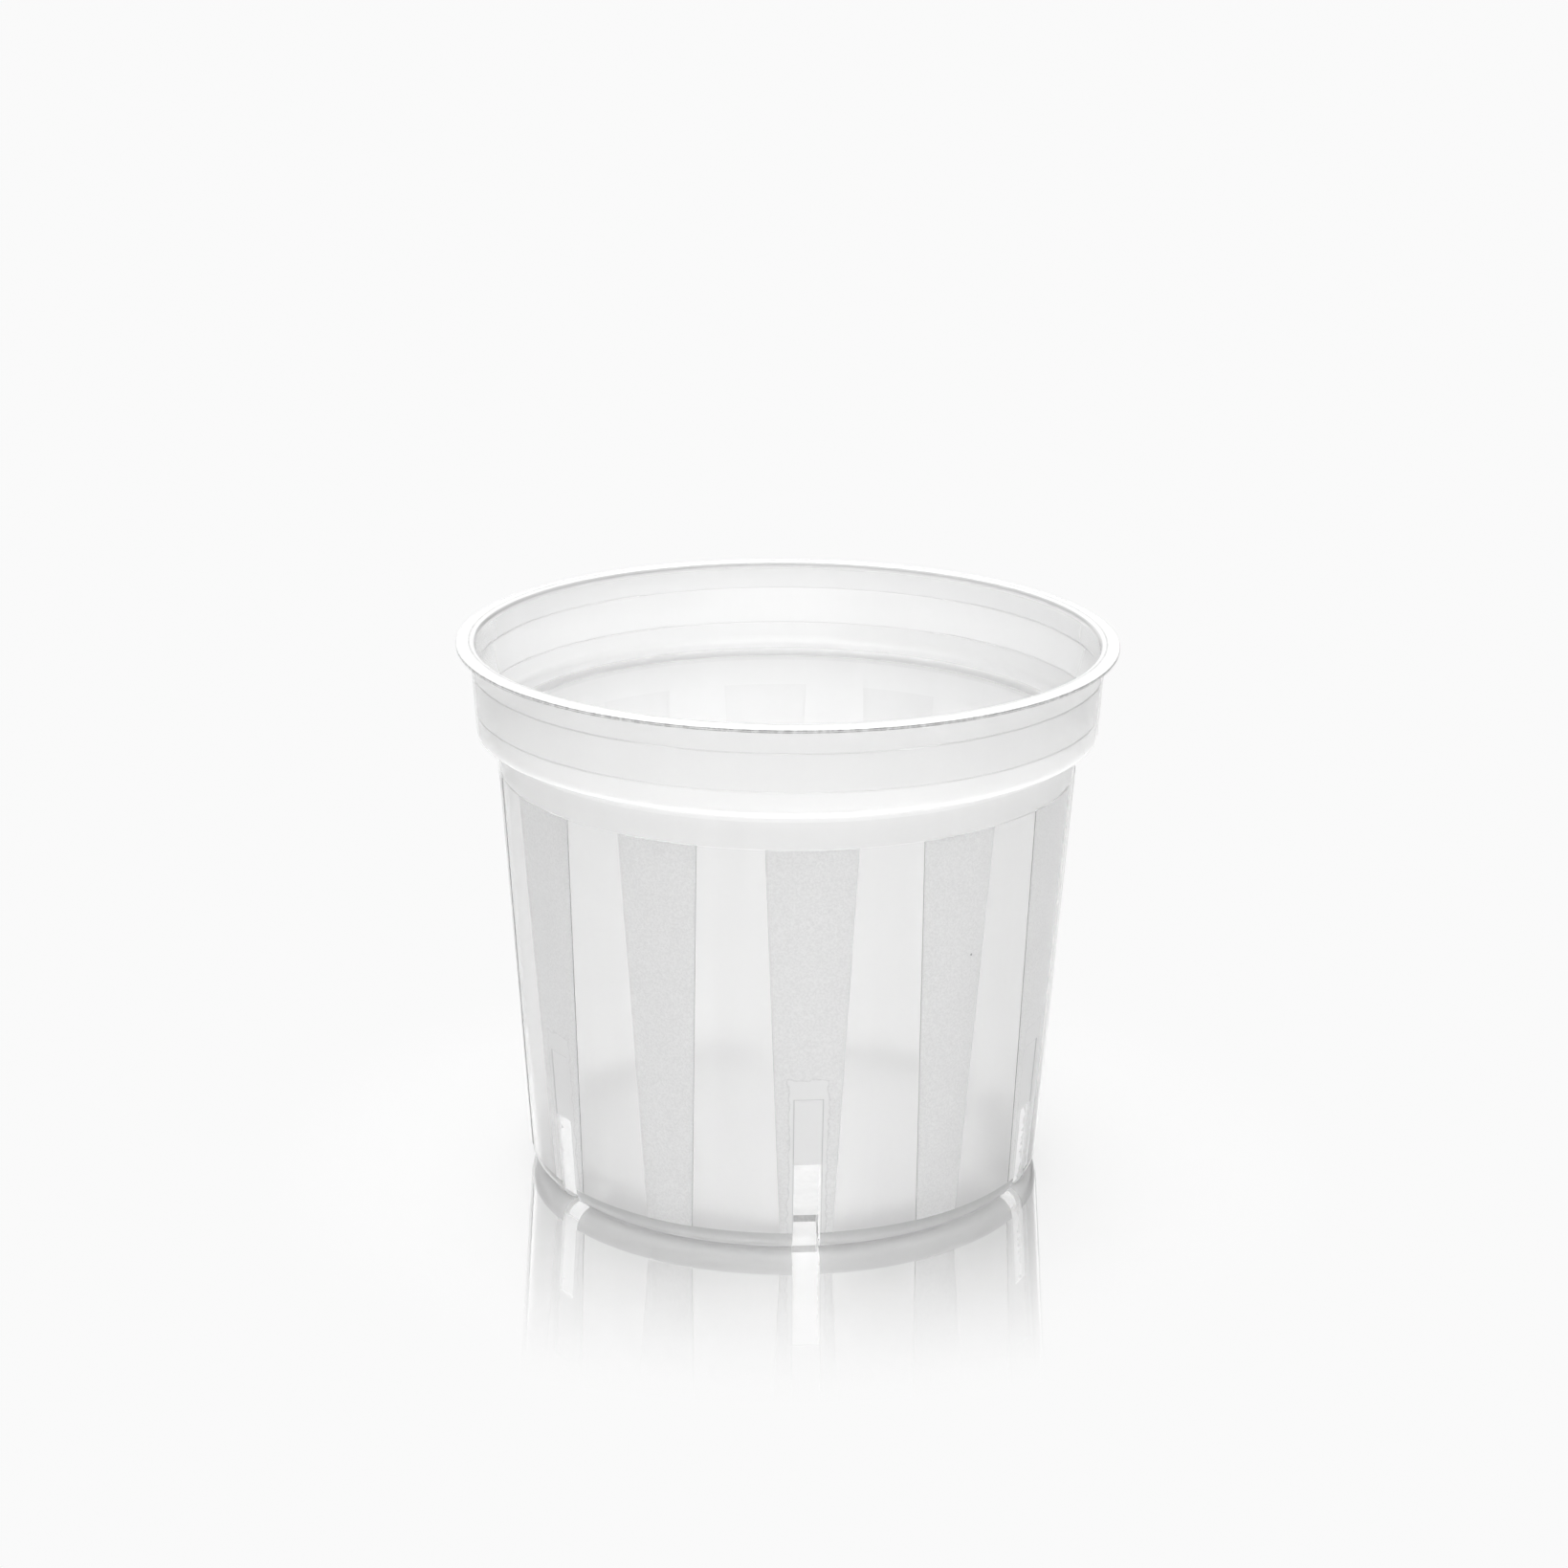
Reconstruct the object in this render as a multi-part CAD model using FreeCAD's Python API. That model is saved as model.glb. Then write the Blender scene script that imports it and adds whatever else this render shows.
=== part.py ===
"""Orchid pot with slots: a thin translucent nursery pot, 120 mm across the rim.

The real pot is one injection moulding. Here it is parted, face to face, into the zones that show on
it, each with one finish: rim lip, collar, shoulder, plain band, clear and frosted wall panels, the
six feet between the slots, and the raised floor. One half section gives every zone its walls.

Frame: +Z up, the table at Z = 0, the pot's axis on Z. The first slot faces -Y.
"""
import FreeCAD
import Part
import math
import os

V = FreeCAD.Vector
CENTRE = V(0, 0, 0)
UP = V(0, 0, 1)

# Overall
POT_HEIGHT = 100.5
LIP_RADIUS = 60.0
WALL_THICKNESS = 1.0

# Rim lip: the flange round the mouth, with a bevel that runs down to its outer edge
LIP_OVERHANG = 2.4
LIP_THICKNESS = 0.9
LIP_BEVEL_WIDTH = 1.3
LIP_BEVEL_DROP = 0.35
LIP_EDGE_ROUND = 0.12
LIP_UNDER_FILLET = 0.4
LIP_INNER_ROUND = 1.0

# Collar: the tall band under the lip, down to the fine line above the shoulder
COLLAR_HEIGHT = 12.1
COLLAR_TAPER_DEG = 3.71
COLLAR_LINE_DROP = 5.2

# Shoulder: the step inward from the collar to the wall, with a short skirt of wall below it
SHOULDER_HEIGHT = 5.6
SHOULDER_STEP = 3.52
SHOULDER_SLOPE_DEG = 17.0
SHOULDER_SKIRT = 1.0
SHOULDER_FOOT_ROUND = 0.4
SHOULDER_EDGE_ROUND = 0.6
SHOULDER_INSIDE_FILLET = 1.8

# Fine moulded lines round the collar, deeper outside than inside
LINE_WIDTH = 0.5
LINE_DEPTH = 0.16
INSIDE_LINE_DEPTH = 0.1

# Tapered wall, with a plain band between the shoulder and the panels
WALL_TAPER_DEG = 3.91
BAND_HEIGHT = 4.9

# Panels: frosted ones stand proud of the clear ones, and all of them of the plain band above
PANEL_STEP = 0.08
FROSTED_RISE = 0.12
FROSTED_TOP_WIDTH = 15.0
FROSTED_BOTTOM_WIDTH = 8.7
SLOTTED_TOP_WIDTH = 16.0
SLOTTED_BOTTOM_WIDTH = 9.3

# Slots: one in every second frosted panel, down through the corner and the foot
SLOT_COUNT = 6
SLOT_WIDTH = 4.9
SLOT_TOP = 17.4

# Windows: shallow recesses above the slots, thinned from inside where the mould's core draws
WINDOW_HEIGHT = 12.5
WINDOW_RECESS = 0.16
PANE_THICKNESS = 0.3

# Foot: a channel that stands on the table round the raised floor
FOOT_WIDTH = 7.3
CORNER_ROUND = 3.8
PANEL_CLEARANCE = 0.2
FOOT_INNER_ROUND = 1.2
CHANNEL_ROUND = 0.3
RISER_LEAN = 0.6
RISER_ROUND = 0.4

# Floor, raised clear of the table, with the gate mark in a dimple under its middle
FLOOR_CLEARANCE = 2.3
FLOOR_THICKNESS = 1.3
GATE_DIMPLE_RADIUS = 3.0
GATE_DIMPLE_DEPTH = 0.4
GATE_MARK_RADIUS = 0.9
GATE_MARK_HEIGHT = 0.25

# How far a cutter runs past what it cuts
OVERRUN = 2.0

# Heights that follow from the sizes above, from the rim down and from the table up
LIP_BOTTOM = POT_HEIGHT - LIP_THICKNESS
LIP_ZONE_BOTTOM = LIP_BOTTOM - LIP_UNDER_FILLET
COLLAR_LINE_HEIGHT = POT_HEIGHT - COLLAR_LINE_DROP
SHOULDER_TOP = POT_HEIGHT - COLLAR_HEIGHT
SHOULDER_BOTTOM = SHOULDER_TOP - SHOULDER_HEIGHT
BAND_TOP = SHOULDER_BOTTOM - SHOULDER_SKIRT
PANEL_TOP = BAND_TOP - BAND_HEIGHT
PANEL_BOTTOM = CORNER_ROUND + PANEL_CLEARANCE
WINDOW_TOP = SLOT_TOP + WINDOW_HEIGHT
SLOT_PITCH_DEG = 360 / SLOT_COUNT


def line_at(radius, height, rise_deg):
    """A line of the half section, as a point and a direction that rises at an angle."""
    angle = math.radians(rise_deg)
    return V(radius, 0, height), V(math.cos(angle), 0, math.sin(angle))


def moved_in(line, distance):
    """The same line moved to its left, which is inward for an outer face."""
    point, direction = line
    return point + V(-direction.z, 0, direction.x) * distance, direction


def crossing(first, second):
    """The point where two lines of the half section meet."""
    point, along = first
    other, across = second
    gap = other - point
    turn = along.x * across.z - along.z * across.x
    return point + along * ((gap.x * across.z - gap.z * across.x) / turn)


def at_height(line, height):
    """The point of a line at a height."""
    return crossing(line, line_at(0, height, 0))


# Straight runs of the outer face, from the rim down to the table
AXIS = line_at(0, 0, 90)
RIM_PLANE = line_at(0, POT_HEIGHT, 0)
LIP_EDGE = line_at(LIP_RADIUS, 0, 90)
COLLAR_FACE = line_at(LIP_RADIUS - LIP_OVERHANG, POT_HEIGHT, 90 - COLLAR_TAPER_DEG)
SHOULDER_FOOT_RADIUS = at_height(COLLAR_FACE, SHOULDER_BOTTOM).x - SHOULDER_STEP
SHOULDER_UNDER = line_at(SHOULDER_FOOT_RADIUS, SHOULDER_BOTTOM, SHOULDER_SLOPE_DEG)
BAND_FACE = line_at(SHOULDER_FOOT_RADIUS, SHOULDER_BOTTOM, 90 - WALL_TAPER_DEG)
CLEAR_FACE = moved_in(BAND_FACE, -PANEL_STEP)
FROSTED_FACE = moved_in(CLEAR_FACE, -FROSTED_RISE)
TABLE = line_at(0, 0, 0)

# The riser leans inward from the foot to the underside of the floor
FOOT_INNER_RADIUS = at_height(CLEAR_FACE, 0).x - FOOT_WIDTH
FLOOR_RADIUS = FOOT_INNER_RADIUS - RISER_LEAN - RISER_ROUND
RISER_FALL_DEG = math.degrees(math.atan2(FLOOR_CLEARANCE, RISER_LEAN))
RISER = line_at(FOOT_INNER_RADIUS, 0, -RISER_FALL_DEG)
FLOOR_UNDER = line_at(0, FLOOR_CLEARANCE, 0)

# The inner face keeps one wall's thickness from the outer one
COLLAR_INSIDE = moved_in(COLLAR_FACE, WALL_THICKNESS)
LEDGE_FACE = moved_in(SHOULDER_UNDER, WALL_THICKNESS)
WALL_INSIDE = moved_in(CLEAR_FACE, WALL_THICKNESS)
CHANNEL_FACE = moved_in(TABLE, WALL_THICKNESS)
RISER_INSIDE = moved_in(RISER, WALL_THICKNESS)
FLOOR_FACE = moved_in(FLOOR_UNDER, FLOOR_THICKNESS)


def corner_stops(last, point, following, radius):
    """Where a corner's round starts, passes its middle and ends. With no radius, all the point."""
    if not radius:
        return point, point, point
    to_last = (last - point).normalize()
    to_next = (following - point).normalize()
    half_corner = to_last.getAngle(to_next) / 2
    setback = radius / math.tan(half_corner)
    reach = radius / math.sin(half_corner) - radius
    middle = point + (to_last + to_next).normalize() * reach
    return point + to_last * setback, middle, point + to_next * setback


def rounded_face(corners):
    """A closed face in the XZ plane from (point, radius) corners, with an arc at each radius."""
    points = [point for point, _ in corners]
    stops = []
    for index, (point, radius) in enumerate(corners):
        following = points[(index + 1) % len(points)]
        stops.append(corner_stops(points[index - 1], point, following, radius))
    edges = []
    for index, (start, middle, end) in enumerate(stops):
        if start != end:
            edges.append(Part.Arc(start, middle, end).toShape())
        next_start = stops[(index + 1) % len(stops)][0]
        edges.append(Part.LineSegment(end, next_start).toShape())
    return Part.Face(Part.Wire(edges))


def moulded_line(face_line, height, depth):
    """The corners of a fine V groove in an upright face, from below upward."""
    half = LINE_WIDTH / 2
    return [
        (at_height(face_line, height - half), 0),
        (at_height(moved_in(face_line, depth), height), 0),
        (at_height(face_line, height + half), 0),
    ]


def pot_section():
    """The half section: out under the floor, up the outer face, over the lip and down inside."""
    outside = [
        (crossing(FLOOR_UNDER, AXIS), 0),
        (crossing(FLOOR_UNDER, RISER), RISER_ROUND),
        (crossing(RISER, TABLE), FOOT_INNER_ROUND),
        (crossing(TABLE, CLEAR_FACE), CORNER_ROUND),
        (at_height(CLEAR_FACE, PANEL_TOP), 0),
        (at_height(BAND_FACE, PANEL_TOP), 0),
        (crossing(BAND_FACE, SHOULDER_UNDER), SHOULDER_FOOT_ROUND),
        (crossing(SHOULDER_UNDER, COLLAR_FACE), SHOULDER_EDGE_ROUND),
        *moulded_line(COLLAR_FACE, SHOULDER_TOP, LINE_DEPTH),
        *moulded_line(COLLAR_FACE, COLLAR_LINE_HEIGHT, LINE_DEPTH),
        (at_height(COLLAR_FACE, LIP_BOTTOM), LIP_UNDER_FILLET),
        (at_height(LIP_EDGE, LIP_BOTTOM), LIP_EDGE_ROUND),
        (at_height(LIP_EDGE, POT_HEIGHT - LIP_BEVEL_DROP), LIP_EDGE_ROUND),
        (at_height(moved_in(LIP_EDGE, LIP_BEVEL_WIDTH), POT_HEIGHT), 0),
    ]
    inside = [
        (crossing(FLOOR_FACE, AXIS), 0),
        (crossing(FLOOR_FACE, RISER_INSIDE), RISER_ROUND + WALL_THICKNESS),
        (crossing(RISER_INSIDE, CHANNEL_FACE), CHANNEL_ROUND),
        (crossing(CHANNEL_FACE, WALL_INSIDE), CORNER_ROUND - WALL_THICKNESS),
        (crossing(WALL_INSIDE, LEDGE_FACE), SHOULDER_FOOT_ROUND + WALL_THICKNESS),
        (crossing(LEDGE_FACE, COLLAR_INSIDE), SHOULDER_INSIDE_FILLET),
        *moulded_line(COLLAR_INSIDE, SHOULDER_TOP, -INSIDE_LINE_DEPTH),
        *moulded_line(COLLAR_INSIDE, COLLAR_LINE_HEIGHT, -INSIDE_LINE_DEPTH),
        (crossing(COLLAR_INSIDE, RIM_PLANE), LIP_INNER_ROUND),
    ]
    return rounded_face(outside + inside[::-1])


def turned_zone(section, low, high, near=0, far=LIP_RADIUS + OVERRUN):
    """The ring or disc that the section makes between two heights and two radii."""
    limits = [V(near, 0, low), V(far, 0, low), V(far, 0, high), V(near, 0, high)]
    part = section.common(rounded_face([(limit, 0) for limit in limits]))
    return part.Faces[0].revolve(CENTRE, UP, 360).Solids[0]


def wall_ring(outer_face, inner_face, low, high):
    """A ring of the tapered wall between two heights, from two lines of the section."""
    corners = [
        at_height(inner_face, low),
        at_height(outer_face, low),
        at_height(outer_face, high),
        at_height(inner_face, high),
    ]
    return rounded_face([(corner, 0) for corner in corners]).revolve(CENTRE, UP, 360)


def front_box(width, near, far, low, high):
    """A box across -Y, between two distances from the axis and two heights."""
    return Part.makeBox(width, far - near, high - low, V(-width / 2, -far, low))


def turned(shape, angle_deg):
    """A copy turned about the pot's axis, from -Y towards +X."""
    copy = shape.copy()
    copy.rotate(CENTRE, UP, angle_deg)
    return copy


def by_angle(solids):
    """Solids in the order that they stand round the axis, from -Y towards +X."""

    def angle(solid):
        return math.atan2(solid.CenterOfMass.x, -solid.CenterOfMass.y) % math.tau

    return sorted(solids, key=angle)


def panel_wedge(top_width, bottom_width):
    """A tapering block through the wall on -Y, as wide as a frosted panel at each height."""
    lean = (top_width - bottom_width) / (PANEL_TOP - PANEL_BOTTOM)
    low_half = (bottom_width - lean * OVERRUN) / 2
    high_half = (top_width + lean * OVERRUN) / 2
    low = PANEL_BOTTOM - OVERRUN
    high = PANEL_TOP + OVERRUN
    outline = [
        V(-low_half, -FOOT_INNER_RADIUS, low),
        V(low_half, -FOOT_INNER_RADIUS, low),
        V(high_half, -FOOT_INNER_RADIUS, high),
        V(-high_half, -FOOT_INNER_RADIUS, high),
    ]
    face = Part.Face(Part.makePolygon(outline + outline[:1]))
    return face.extrude(V(0, FOOT_INNER_RADIUS - LIP_RADIUS, 0))


def slot_cutters():
    """What a slot takes from its panel: the slot, the window's recess and the core's draw."""
    slot = front_box(
        SLOT_WIDTH, FOOT_INNER_RADIUS, LIP_RADIUS, PANEL_BOTTOM - OVERRUN, SLOT_TOP
    )
    window_floor = moved_in(FROSTED_FACE, WINDOW_RECESS)
    skin = wall_ring(moved_in(FROSTED_FACE, -OVERRUN), window_floor, PANEL_BOTTOM, WINDOW_TOP)
    recess = skin.common(
        front_box(SLOT_WIDTH, FOOT_INNER_RADIUS, LIP_RADIUS, PANEL_BOTTOM, WINDOW_TOP)
    )
    draw_face = at_height(window_floor, SLOT_TOP).x - PANE_THICKNESS
    draw = front_box(SLOT_WIDTH, FOOT_INNER_RADIUS, draw_face, PANEL_BOTTOM, PANEL_TOP)
    return [slot, recess, draw]


def frosted_panels():
    """The slotted and the plain frosted panels, as two lists of solids."""
    ring = wall_ring(FROSTED_FACE, WALL_INSIDE, PANEL_BOTTOM, PANEL_TOP)
    slotted = ring.common(panel_wedge(SLOTTED_TOP_WIDTH, SLOTTED_BOTTOM_WIDTH))
    slotted = slotted.cut(slot_cutters()).Solids[0]
    plain = ring.common(panel_wedge(FROSTED_TOP_WIDTH, FROSTED_BOTTOM_WIDTH)).Solids[0]
    turns = [SLOT_PITCH_DEG * place for place in range(SLOT_COUNT)]
    return (
        [turned(slotted, turn) for turn in turns],
        [turned(plain, turn + SLOT_PITCH_DEG / 2) for turn in turns],
    )


def clear_panels():
    """What the frosted panels leave of the wall."""
    ring = wall_ring(CLEAR_FACE, WALL_INSIDE, PANEL_BOTTOM, PANEL_TOP)
    slotted = panel_wedge(SLOTTED_TOP_WIDTH, SLOTTED_BOTTOM_WIDTH)
    plain = panel_wedge(FROSTED_TOP_WIDTH, FROSTED_BOTTOM_WIDTH)
    wedges = []
    for place in range(SLOT_COUNT):
        wedges.append(turned(slotted, SLOT_PITCH_DEG * place))
        wedges.append(turned(plain, SLOT_PITCH_DEG * (place + 1 / 2)))
    return by_angle(ring.cut(wedges).Solids)


def foot_segments(section):
    """The corner and the foot channel, parted by the slots."""
    ring = turned_zone(section, 0, PANEL_BOTTOM, near=FLOOR_RADIUS)
    slot = front_box(
        SLOT_WIDTH, FLOOR_RADIUS - OVERRUN, LIP_RADIUS, -OVERRUN, PANEL_BOTTOM + OVERRUN
    )
    slots = [turned(slot, SLOT_PITCH_DEG * place) for place in range(SLOT_COUNT)]
    return by_angle(ring.cut(slots).Solids)


def raised_floor(section):
    """The floor disc, with the gate mark in its dimple underneath."""
    disc = turned_zone(section, 0, PANEL_BOTTOM, far=FLOOR_RADIUS)
    roof = FLOOR_CLEARANCE + GATE_DIMPLE_DEPTH
    dimple = Part.makeCylinder(GATE_DIMPLE_RADIUS, roof)
    mark = Part.makeCylinder(GATE_MARK_RADIUS, GATE_MARK_HEIGHT, V(0, 0, roof - GATE_MARK_HEIGHT))
    return disc.cut(dimple.cut(mark)).Solids[0]


def numbered(name, solids):
    """Node names for a run of like solids."""
    return {f"{name}_{place:02d}": solid for place, solid in enumerate(solids, start=1)}


def pot_zones():
    """Every node's solid, by name."""
    section = pot_section()
    slotted, plain = frosted_panels()
    return {
        "rim_lip": turned_zone(section, LIP_ZONE_BOTTOM, POT_HEIGHT + OVERRUN),
        "collar": turned_zone(section, SHOULDER_TOP, LIP_ZONE_BOTTOM),
        "shoulder": turned_zone(section, BAND_TOP, SHOULDER_TOP),
        "wall_band": turned_zone(section, PANEL_TOP, BAND_TOP),
        **numbered("clear_panel", clear_panels()),
        **numbered("frosted_panel", plain),
        **numbered("slotted_panel", slotted),
        **numbered("foot_segment", foot_segments(section)),
        "floor": raised_floor(section),
    }


def main():
    os.makedirs("parts", exist_ok=True)
    for name, solid in pot_zones().items():
        solid.exportStep(f"parts/{name}.step")
        print(f"{name}: {solid.Volume:.1f} mm3, valid {solid.isValid()}")


main()
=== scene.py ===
"""The looks of the orchid pot with slots: moulded walls, finishes, table, light and camera.

The walls are drawn again from the sections of the CAD model, with finer steps, as one closed piece
for each CAD node. The frame is in metres, and the sizes below are in millimetres unless they say so.
"""
import math
from typing import NamedTuple

import bmesh
import bpy
from mathutils import Matrix, Vector, noise


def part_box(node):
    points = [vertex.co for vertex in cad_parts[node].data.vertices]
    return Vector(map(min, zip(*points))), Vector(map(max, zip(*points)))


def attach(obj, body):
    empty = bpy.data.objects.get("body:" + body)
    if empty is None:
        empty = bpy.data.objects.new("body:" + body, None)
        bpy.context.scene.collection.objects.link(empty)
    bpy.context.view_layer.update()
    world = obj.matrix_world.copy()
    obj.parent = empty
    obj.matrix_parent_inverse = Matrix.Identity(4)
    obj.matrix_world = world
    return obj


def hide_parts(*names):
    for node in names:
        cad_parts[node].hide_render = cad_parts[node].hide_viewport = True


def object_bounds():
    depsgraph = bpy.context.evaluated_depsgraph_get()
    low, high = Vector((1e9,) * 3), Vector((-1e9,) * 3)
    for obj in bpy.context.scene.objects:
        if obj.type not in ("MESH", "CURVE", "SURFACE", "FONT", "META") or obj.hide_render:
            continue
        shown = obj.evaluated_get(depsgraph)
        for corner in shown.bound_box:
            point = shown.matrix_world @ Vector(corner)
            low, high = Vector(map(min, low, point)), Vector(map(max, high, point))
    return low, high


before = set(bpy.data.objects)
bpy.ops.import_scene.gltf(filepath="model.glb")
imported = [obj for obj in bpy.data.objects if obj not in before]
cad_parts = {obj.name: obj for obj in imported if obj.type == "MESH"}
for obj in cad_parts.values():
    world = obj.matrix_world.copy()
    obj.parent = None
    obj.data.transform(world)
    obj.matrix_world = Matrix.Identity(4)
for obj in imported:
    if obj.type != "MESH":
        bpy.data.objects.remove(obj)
cad_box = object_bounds()

MM = 0.001

# The photograph's camera, for a pot that is turned by its slot's phase
CAMERA_DISTANCE = 623.45
CAMERA_SIDE = -0.522
CAMERA_HEIGHT = 265.81
CAMERA_TILT_DEG = 72.7544
CAMERA_ROLL_DEG = 0.4316
SLOT_PHASE_DEG = 4.87
CAMERA_LENS = 81.61
SENSOR_WIDTH = 36.0
CLIP_START = 10.0

# Sections of the wall, as the CAD model has them
RIM_RADIUS = 60.0
WALL = 1.0
LIP_OVERHANG = 2.4
LIP_THICKNESS = 0.9
LIP_BEVEL_WIDTH = 1.3
LIP_BEVEL_DROP = 0.35
LIP_EDGE_ROUND = 0.12
LIP_UNDER_FILLET = 0.4
LIP_INNER_ROUND = 1.0
COLLAR_TAPER_DEG = 3.71
COLLAR_LINE_DROP = 5.2
INSIDE_LINE_DEPTH = 0.1
SHOULDER_STEP = 3.52
SHOULDER_SLOPE_DEG = 17.0
SHOULDER_SKIRT = 1.0
SHOULDER_FOOT_ROUND = 0.4
SHOULDER_EDGE_ROUND = 0.6
SHOULDER_INSIDE_FILLET = 1.8
WALL_TAPER_DEG = 3.91
PANEL_STEP = 0.08
FROSTED_RISE = 0.12
FROSTED_TOP_WIDTH = 15.0
FROSTED_BOTTOM_WIDTH = 8.7
SLOTTED_TOP_WIDTH = 16.0
SLOTTED_BOTTOM_WIDTH = 9.3
SLOT_COUNT = 6
SLOT_WIDTH = 4.9
SLOT_TOP = 17.4
WINDOW_HEIGHT = 12.5
WINDOW_RECESS = 0.16
PANE_THICKNESS = 0.3
FOOT_WIDTH = 7.3
CORNER_ROUND = 3.8
FOOT_INNER_ROUND = 1.2
CHANNEL_ROUND = 0.3
RISER_LEAN = 0.6
RISER_ROUND = 0.4
GATE_DIMPLE_RADIUS = 3.0
GATE_DIMPLE_DEPTH = 0.4
GATE_MARK_RADIUS = 0.9
GATE_MARK_HEIGHT = 0.25

# Draft of the small steps at the panels' edges and at the windows' edges
EDGE_DRAFT = 0.05
WINDOW_DRAFT = 0.18

# Only here: the fine moulded lines are narrower, and outside less deep, than in the CAD model, and
# the top edge of the frosted panels has a slope
LINE_BELOW = 0.22
LINE_ABOVE = 0.08
LINE_DEPTH = 0.13
STEP_SLOPE = 0.15

# Painted shade lines on the lip: at its side's two edges, at its crest, and between two depths inside
# it
LIP_EDGE_SHADE_LINE = 0.2
LIP_CREST_LINE = 0.35
LIP_SHADE_DEPTHS = (0.3, 0.85)

# The flash, a thin torn skin at a slot's edges: its width at the right and the left edge of each slot
FLASH_WIDTHS = [(0.35, 0.12), (0.2, 3.6), (0.2, 0.2), (0.3, 0.1), (0.1, 0.3), (5.6, 0.3)]
FLASH_THICKNESS = 0.14
FLASH_STEP = 0.35
FLASH_BELOW_ROUND = 1.3
FLASH_TOP_GAP = 0.02
FLASH_BITE = 0.05
FLASH_LEAST_OPENING = 0.3

# How its torn edge wanders: each wave's length and its share of the width, the place in the noise
# where the fast wave is read, and the least share of the width that stays
SLOW_TEAR_LENGTH = 2.3
SLOW_TEAR_SHARE = 0.5
FAST_TEAR_LENGTH = 0.7
FAST_TEAR_SHARE = 0.35
FAST_TEAR_PLACE = 5
LEAST_TEAR = 0.15

# How finely the walls are drawn, and the angle where their smooth shading ends. Points that are
# nearer than the distance, in metres, are made one.
ARC_STEPS = 6
ROW_HEIGHT = 3.0
DISC_RINGS = 8
SHARP_ANGLE_DEG = 28
MERGE_DISTANCE = 1e-6

# The smooth margin round each window, how far its edge wanders, its rim and its clearness, and the
# painted shade of the line round the window
HALO_HALF = 3.4
HALO_TOP = 33.6
HALO_RADIUS = 50.0
HALO_ROUGH = 0.3
HALO_ROUGH_SCALE = 400.0
HALO_FADE = 0.12
HALO_RIM = 0.3
HALO_RIM_TONE = 0.07
HALO_CLEAR = 0.25
WINDOW_LINE_PAINTED_SHADE = 0.3

# Tiny dark specks: cells to the metre, the share of cells with one, its radius, core and depth
SPECK_CELLS = 130.0
SPECK_SHARE = 0.07
SPECK_RADIUS = 0.3
SPECK_CORE = 0.6
SPECK_DEPTH = 0.55

# The plastic's grain and its upright streaks
PLASTIC_IOR = 1.49
NOISE_RANGE = (0.3, 0.7)
NOISE_DETAIL = 2.0
GRAIN_ROUGHNESS = 0.7
SOFT_ROUGHNESS = 0.5
STREAK_SCALE = 160.0
STREAK_STRETCH = 0.06

# How bright the white background is, and the light from behind, in front, the sides and above.
# The two numbers of the side light and of the lean are for the left end and the right end.
BACKGROUND = 0.955
BACK_LIGHT = 2.28
FRONT_LIGHT = 0.93
SIDE_LIGHT = (0.22, 0.0)
LIGHT_LEAN = (1.1, 0.76)
TOP_LIGHT = 3.0
TOP_NARROW = 3.0

# Where the lights and the background start and end to fade, as parts of a ray's direction
FULL_WIDTH = (-1.0, 1.0)
BACKDROP_EDGE = (0.2, 0.42)
FRONT_EDGE = (0.25, 0.6)
BEHIND_EDGE = (-0.3, 0.3)
SCREEN_TOP = (0.3, 0.45)
MIRROR_TOP = (0.55, 0.7)

# The table, in metres. It is a hair below the feet, so that the two faces don't coincide, and
# its shine fades out between two distances from the middle.
TABLE_HALF = 3.0
TABLE_TOP = -0.00003
SHINE_EDGE = (0.047, 0.105)

# The table's shades, its share of mirror and the mirror's blur
TABLE_MATTE = 0.6
TABLE_SHINE = 0.97
TABLE_MIRROR = 0.75
TABLE_BLUR = 0.04


def low(node):
    """A node's lowest height."""
    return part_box(node)[0].z / MM


def high(node):
    """A node's highest height."""
    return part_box(node)[1].z / MM


# Heights that the CAD nodes give
FLOOR_UNDER_HEIGHT = low("floor")
FLOOR_TOP_HEIGHT = high("floor")
PANEL_BOTTOM = low("clear_panel_01")
PANEL_TOP = low("wall_band")
BAND_TOP = low("shoulder")
SHOULDER_BOTTOM = BAND_TOP + SHOULDER_SKIRT
SHOULDER_TOP = low("collar")
LIP_ZONE_BOTTOM = low("rim_lip")
POT_HEIGHT = high("rim_lip")
LIP_BOTTOM = POT_HEIGHT - LIP_THICKNESS
COLLAR_LINE_HEIGHT = POT_HEIGHT - COLLAR_LINE_DROP
WINDOW_TOP = SLOT_TOP + WINDOW_HEIGHT

# The lip is drawn as wide as the CAD model's facets are at their narrowest
LIP_RADIUS = min(cad_box[1].x, cad_box[1].y) / MM


def line_at(radius, height, rise_deg):
    """A line of the half section, as a point and a direction."""
    angle = math.radians(rise_deg)
    return Vector((radius, height)), Vector((math.cos(angle), math.sin(angle)))


def moved_in(line, distance):
    """The same line moved to its left, which is inward for an outer face."""
    point, direction = line
    return point + Vector((-direction.y, direction.x)) * distance, direction


def crossing(first, second):
    """The point where two lines of the half section meet."""
    point, along = first
    other, across = second
    gap = other - point
    turn = along.x * across.y - along.y * across.x
    return point + along * ((gap.x * across.y - gap.y * across.x) / turn)


def at_height(line, height):
    """The point of a line at a height."""
    return crossing(line, line_at(0, height, 0))


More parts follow.
